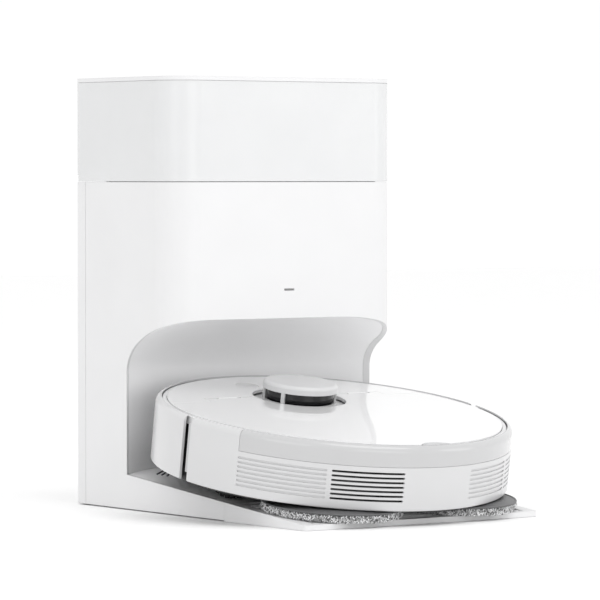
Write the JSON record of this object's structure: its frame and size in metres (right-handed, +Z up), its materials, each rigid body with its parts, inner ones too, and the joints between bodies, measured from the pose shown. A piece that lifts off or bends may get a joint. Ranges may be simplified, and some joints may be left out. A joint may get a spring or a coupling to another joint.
{
  "type": "robot vacuum with washing station",
  "caption": "Round robot vacuum and mop parked nose-first in a tall washing station with a ramp, a translucent hinged hood and water tanks inside.",
  "frame": {"origin": "On the floor under the middle of the whole object's plan, robot parked in the station.", "axes": "+Z up; the station's front and its ramp face -Y; +X is to the right of someone facing the front."},
  "size_m": [0.35, 0.4219, 0.427],
  "materials": {
    "white_shell": "glossy white shell",
    "white_matt": "fine satin white",
    "tray": "satin light grey",
    "hood_smoke": "smoky clear",
    "tank_smoke": "smoky clear",
    "tank_clear": "pale clear",
    "grey_trim": "satin grey",
    "black_plastic": "satin black",
    "black_gloss": "dark smoked window",
    "silver_window": "light grey smoked band",
    "rubber_black": "matt rubber",
    "tyre_black": "moulded rubber",
    "steel": "plain steel",
    "contact_metal": "plated contact",
    "board_green": "circuit board",
    "mop_cloth": "looped microfibre",
    "filter_pleat": "pleated filter",
    "bristle": "nylon bristle",
    "hose_clear": "silicone hose"
  },
  "bodies": {
    "station": {"tower_shell": "white_matt", "bay_liner": "white_matt", "base_tray": "tray", "ramp_plate": "white_matt", "washboard": "white_matt", "rear_cover": "white_matt", "tank_deck": "white_matt", "status_light": "black_gloss", "power_inlet": "black_plastic", "control_board": "board_green", "water_pumps": "black_plastic", "water_hoses": "hose_clear", "dryer_fan": "black_plastic", "contact_block": "tray", "station_feet": "rubber_black", "cover_screws": "steel", "hinge_pins": "steel", "used_tank": "tank_smoke", "clean_tank": "tank_clear"},
    "contacts": {"contact_plates": "contact_metal"},
    "hood": {"hood": "hood_smoke", "hood_top": "white_matt"},
    "used_cap": {"used_tank_cap": "grey_trim"},
    "clean_cap": {"clean_tank_cap": "tray"},
    "used_handle": {"used_tank_handle": "grey_trim"},
    "clean_handle": {"clean_tank_handle": "tray"},
    "drive": {"wheel_units": "black_plastic"},
    "robot": {"chassis": "black_plastic", "upper_frame": "white_matt", "rear_shell": "white_shell", "rear_window": "silver_window", "top_deck": "white_shell", "turret_base": "white_shell", "turret_window": "black_gloss", "turret_cap": "white_shell", "dustbin": "tank_smoke", "dust_filter": "filter_pleat", "fan_motor": "black_plastic", "battery": "grey_trim", "main_board": "board_green", "brush_guard": "black_plastic"},
    "lid": {"lid": "white_shell"},
    "bumper": {"bumper": "white_shell", "bumper_window": "black_gloss"},
    "laser": {"laser_head": "grey_trim"},
    "home_button": {"home_button": "white_shell"},
    "power_button": {"power_button": "white_shell"},
    "wheel_left": {"left_wheel": "grey_trim", "left_tyre": "tyre_black"},
    "wheel_right": {"right_wheel": "grey_trim", "right_tyre": "tyre_black"},
    "caster": {"caster_fork": "black_plastic"},
    "caster_wheel": {"caster_wheel": "grey_trim"},
    "main_brush": {"main_brush": "bristle"},
    "side_brush": {"side_brush": "bristle"},
    "mop_carrier": {"mop_carrier": "grey_trim"},
    "mop_left": {"left_mop_disc": "grey_trim", "left_mop_pad": "mop_cloth"},
    "mop_right": {"right_mop_disc": "grey_trim", "right_mop_pad": "mop_cloth"}
  },
  "joints": [
    {"name": "hood_open", "type": "hinge", "parent": "station", "child": "hood", "pos_m": [0, 0.205, 0.3305], "axis": [-1, 0, 0], "range_deg": [0, 85]},
    {"name": "used_cap_flip", "type": "hinge", "parent": "station", "child": "used_cap", "pos_m": [-0.066, 0.1255, 0.3582], "axis": [-1, 0, 0], "range_deg": [0, 90]},
    {"name": "used_handle_raise", "type": "hinge", "parent": "station", "child": "used_handle", "pos_m": [-0.066, 0.1395, 0.3595], "axis": [1, 0, 0], "range_deg": [0, 90]},
    {"name": "clean_cap_flip", "type": "hinge", "parent": "station", "child": "clean_cap", "pos_m": [0.066, 0.1255, 0.3582], "axis": [-1, 0, 0], "range_deg": [0, 90]},
    {"name": "clean_handle_raise", "type": "hinge", "parent": "station", "child": "clean_handle", "pos_m": [0.066, 0.1395, 0.3595], "axis": [1, 0, 0], "range_deg": [0, 90]},
    {"name": "contacts_press", "type": "slide", "parent": "station", "child": "contacts", "axis": [0, 0, -1], "range_m": [0, 0.002], "stiffness_N_per_m": 400, "springref_m": -0.0005},
    {"name": "drive_out", "type": "slide", "parent": "station", "child": "drive", "axis": [0, -0.9982, -0.0604], "range_m": [0, 0.33561]},
    {"name": "body_pitch", "type": "hinge", "parent": "drive", "child": "robot", "pos_m": [0, -0.03192, 0.05627], "axis": [1, 0, 0], "range_deg": [-9, 0]},
    {"name": "mop_float", "type": "hinge", "parent": "robot", "child": "mop_carrier", "pos_m": [0, -0.03132, 0.05036], "axis": [1, 0, 0], "range_deg": [0, 3.4]},
    {"name": "mop_left_spin", "type": "hinge", "parent": "mop_carrier", "child": "mop_left", "pos_m": [-0.069, -0.12889, 0.0207], "axis": [0, -0.0976, 0.9952], "continuous": true},
    {"name": "mop_right_spin", "type": "hinge", "parent": "mop_carrier", "child": "mop_right", "pos_m": [0.069, -0.12889, 0.0207], "axis": [0, -0.0976, 0.9952], "continuous": true},
    {"name": "wheel_left_roll", "type": "hinge", "parent": "drive", "child": "wheel_left", "pos_m": [-0.115, -0.03192, 0.05627], "axis": [1, 0, 0], "continuous": true},
    {"name": "wheel_right_roll", "type": "hinge", "parent": "drive", "child": "wheel_right", "pos_m": [0.115, -0.03192, 0.05627], "axis": [1, 0, 0], "continuous": true},
    {"name": "lid_open", "type": "hinge", "parent": "robot", "child": "lid", "pos_m": [0, 0.03127, 0.11207], "axis": [-1, 0, 0], "range_deg": [0, 90]},
    {"name": "bumper_press", "type": "slide", "parent": "robot", "child": "bumper", "axis": [0, -0.9882, -0.1533], "range_m": [0, 0.0035], "stiffness_N_per_m": 600, "springref_m": -0.002},
    {"name": "laser_spin", "type": "hinge", "parent": "robot", "child": "laser", "pos_m": [0, 0.02003, 0.10886], "axis": [0, -0.1533, 0.9882], "continuous": true},
    {"name": "home_press", "type": "slide", "parent": "robot", "child": "home_button", "axis": [0, 0.1533, -0.9882], "range_m": [0, 0.0012], "stiffness_N_per_m": 500, "springref_m": -0.0005},
    {"name": "power_press", "type": "slide", "parent": "robot", "child": "power_button", "axis": [0, 0.1533, -0.9882], "range_m": [0, 0.0012], "stiffness_N_per_m": 500, "springref_m": -0.0005},
    {"name": "caster_swivel", "type": "hinge", "parent": "robot", "child": "caster", "pos_m": [0, 0.10888, 0.06193], "axis": [0, -0.1533, 0.9882], "continuous": true},
    {"name": "caster_roll", "type": "hinge", "parent": "caster", "child": "caster_wheel", "pos_m": [0, 0.10497, 0.05454], "axis": [1, 0, 0], "continuous": true},
    {"name": "main_brush_spin", "type": "hinge", "parent": "robot", "child": "main_brush", "pos_m": [0, 0.00367, 0.04864], "axis": [1, 0, 0], "continuous": true},
    {"name": "side_brush_spin", "type": "hinge", "parent": "robot", "child": "side_brush", "pos_m": [-0.1, 0.07552, 0.04866], "axis": [0, -0.1533, 0.9882], "continuous": true}
  ],
  "couplings": [
    {"joint": "body_pitch", "follows": "drive_out", "rad_per_m": -0.45868},
    {"joint": "mop_float", "follows": "drive_out", "rad_per_m": 0.16745},
    {"joint": "wheel_left_roll", "follows": "drive_out", "rad_per_m": 28.09},
    {"joint": "wheel_right_roll", "follows": "drive_out", "rad_per_m": 28.09},
    {"joint": "mop_right_spin", "follows": "mop_left_spin", "ratio": -1}
  ]
}
